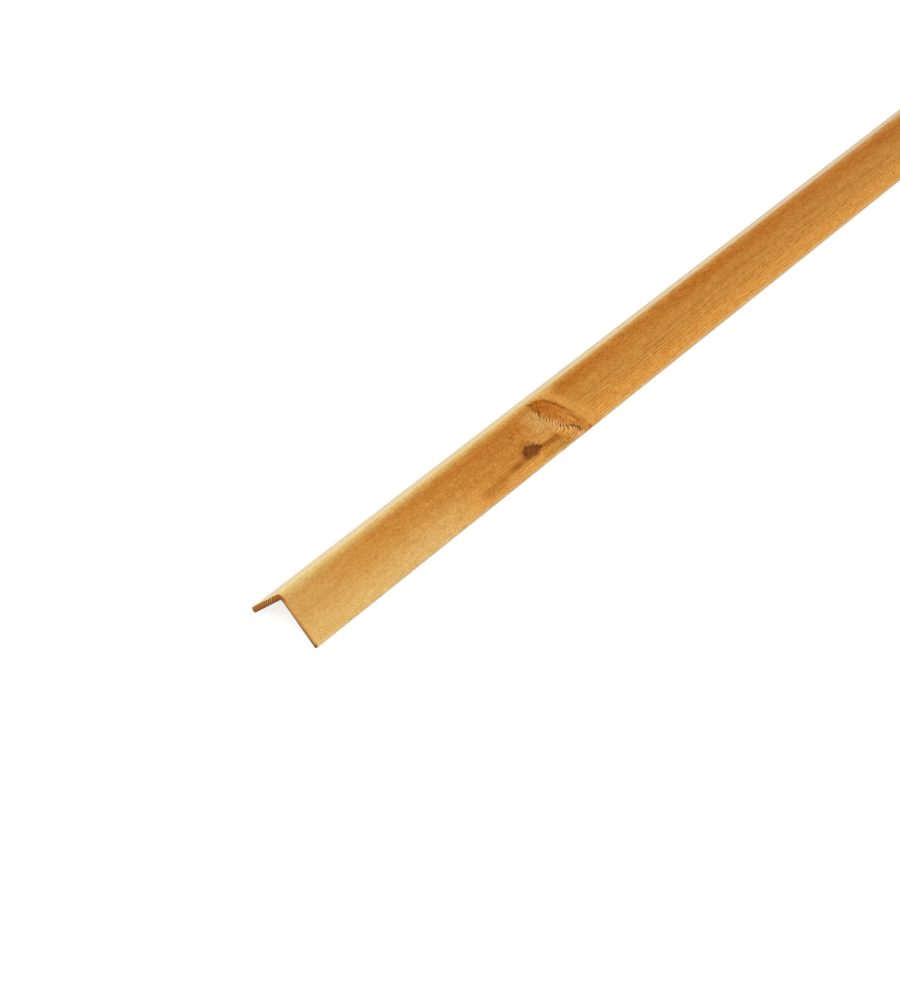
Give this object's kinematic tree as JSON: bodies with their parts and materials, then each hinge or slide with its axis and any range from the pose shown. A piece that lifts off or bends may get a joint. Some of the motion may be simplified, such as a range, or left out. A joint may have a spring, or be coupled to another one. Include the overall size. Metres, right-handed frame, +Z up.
{
  "type": "corner guard moulding",
  "caption": "Straight length of planed pine moulding with an L section and a rounded nose, which covers and guards an outside corner of a wall.",
  "frame": {"origin": "on the floor under the middle of the length, where the moulding lies on its two free edges", "axes": "+X along the length, +Z up through the rounded nose; the two legs fall away at 45 degrees towards +Y and -Y"},
  "size_m": [1.2, 0.055, 0.0286],
  "materials": {
    "pine": "satin"
  },
  "bodies": {
    "root": {"corner_moulding": "pine"}
  },
  "joints": []
}
